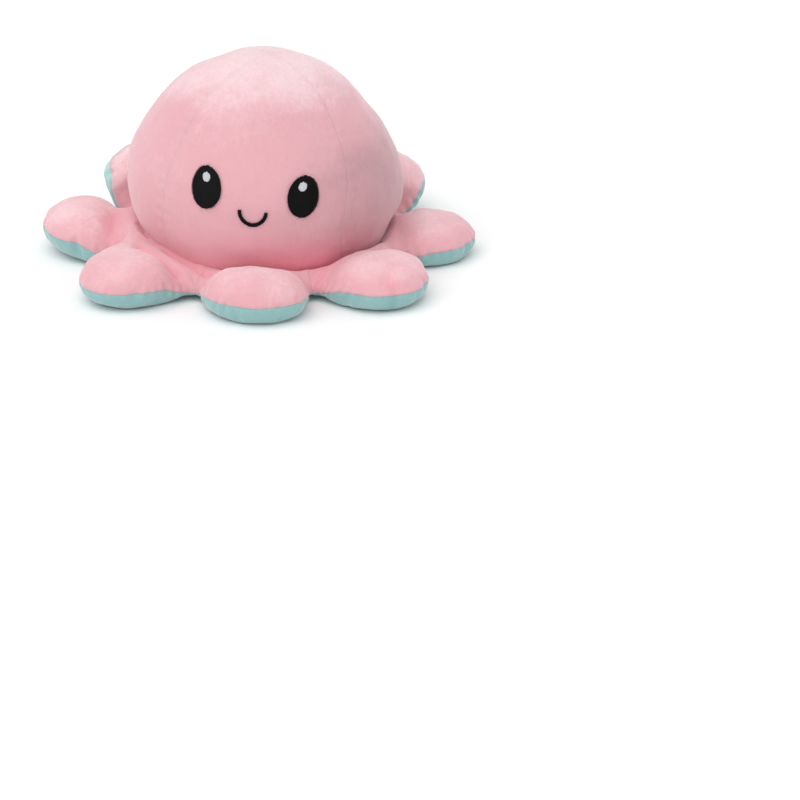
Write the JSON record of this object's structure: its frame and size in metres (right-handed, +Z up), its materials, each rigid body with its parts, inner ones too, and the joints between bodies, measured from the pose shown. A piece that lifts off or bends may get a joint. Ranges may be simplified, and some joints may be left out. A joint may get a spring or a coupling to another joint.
{
  "type": "plush octopus",
  "caption": "Plush octopus that turns inside out, with a domed head over a lined pocket, round padded tentacles and an embroidered face on each skin.",
  "frame": {"origin": "on the surface that the toy stands on, under the middle of the ring of tentacles", "axes": "+Z up through the head, -Y the way the outer face looks, +X to the right of someone facing it"},
  "size_m": [0.2, 0.1954, 0.0969],
  "materials": {
    "outer_plush": "short pile, matt",
    "inner_plush": "short pile, matt",
    "fibre_filling": "loose fibre, matt",
    "black_thread": "satin stitch",
    "white_thread": "satin stitch"
  },
  "bodies": {
    "head": {"head_panel_front": "outer_plush", "head_panel_right": "outer_plush", "head_panel_back": "outer_plush", "head_panel_left": "outer_plush", "lining_panel_front": "inner_plush", "lining_panel_right": "inner_plush", "lining_panel_back": "inner_plush", "lining_panel_left": "inner_plush", "head_filling": "fibre_filling", "tentacle_collar": "outer_plush", "underside_ring": "inner_plush", "left_eye": "black_thread", "right_eye": "black_thread", "left_eye_glint": "white_thread", "right_eye_glint": "white_thread", "smile": "black_thread", "pocket_left_eye": "black_thread", "pocket_right_eye": "black_thread", "pocket_left_eye_glint": "white_thread", "pocket_right_eye_glint": "white_thread", "pocket_frown": "black_thread"},
    "front_tentacle": {"front_tentacle_top": "outer_plush", "front_tentacle_underside": "inner_plush", "front_tentacle_filling": "fibre_filling"},
    "front_right_tentacle": {"front_right_tentacle_top": "outer_plush", "front_right_tentacle_underside": "inner_plush", "front_right_tentacle_filling": "fibre_filling"},
    "right_tentacle": {"right_tentacle_top": "outer_plush", "right_tentacle_underside": "inner_plush", "right_tentacle_filling": "fibre_filling"},
    "back_right_tentacle": {"back_right_tentacle_top": "outer_plush", "back_right_tentacle_underside": "inner_plush", "back_right_tentacle_filling": "fibre_filling"},
    "back_tentacle": {"back_tentacle_top": "outer_plush", "back_tentacle_underside": "inner_plush", "back_tentacle_filling": "fibre_filling"},
    "back_left_tentacle": {"back_left_tentacle_top": "outer_plush", "back_left_tentacle_underside": "inner_plush", "back_left_tentacle_filling": "fibre_filling"},
    "left_tentacle": {"left_tentacle_top": "outer_plush", "left_tentacle_underside": "inner_plush", "left_tentacle_filling": "fibre_filling"},
    "front_left_tentacle": {"front_left_tentacle_top": "outer_plush", "front_left_tentacle_underside": "inner_plush", "front_left_tentacle_filling": "fibre_filling"}
  },
  "joints": [
    {"name": "front_tentacle_fold", "type": "hinge", "parent": "head", "child": "front_tentacle", "pos_m": [0, -0.054, 0.014], "axis": [-1, 0, 0], "range_deg": [-10, 25], "stiffness_Nm_per_rad": 0.03},
    {"name": "front_right_tentacle_fold", "type": "hinge", "parent": "head", "child": "front_right_tentacle", "pos_m": [0.03818, -0.03818, 0.014], "axis": [-0.7071, -0.7071, 0], "range_deg": [-10, 25], "stiffness_Nm_per_rad": 0.03},
    {"name": "right_tentacle_fold", "type": "hinge", "parent": "head", "child": "right_tentacle", "pos_m": [0.054, 0, 0.014], "axis": [0, -1, 0], "range_deg": [-10, 25], "stiffness_Nm_per_rad": 0.03},
    {"name": "back_right_tentacle_fold", "type": "hinge", "parent": "head", "child": "back_right_tentacle", "pos_m": [0.03818, 0.03818, 0.014], "axis": [0.7071, -0.7071, 0], "range_deg": [-10, 25], "stiffness_Nm_per_rad": 0.03},
    {"name": "back_tentacle_fold", "type": "hinge", "parent": "head", "child": "back_tentacle", "pos_m": [0, 0.054, 0.014], "axis": [1, 0, 0], "range_deg": [-10, 25], "stiffness_Nm_per_rad": 0.03},
    {"name": "back_left_tentacle_fold", "type": "hinge", "parent": "head", "child": "back_left_tentacle", "pos_m": [-0.03818, 0.03818, 0.014], "axis": [0.7071, 0.7071, 0], "range_deg": [-10, 25], "stiffness_Nm_per_rad": 0.03},
    {"name": "left_tentacle_fold", "type": "hinge", "parent": "head", "child": "left_tentacle", "pos_m": [-0.054, 0, 0.014], "axis": [0, 1, 0], "range_deg": [-10, 25], "stiffness_Nm_per_rad": 0.03},
    {"name": "front_left_tentacle_fold", "type": "hinge", "parent": "head", "child": "front_left_tentacle", "pos_m": [-0.03818, -0.03818, 0.014], "axis": [-0.7071, 0.7071, 0], "range_deg": [-10, 25], "stiffness_Nm_per_rad": 0.03}
  ]
}
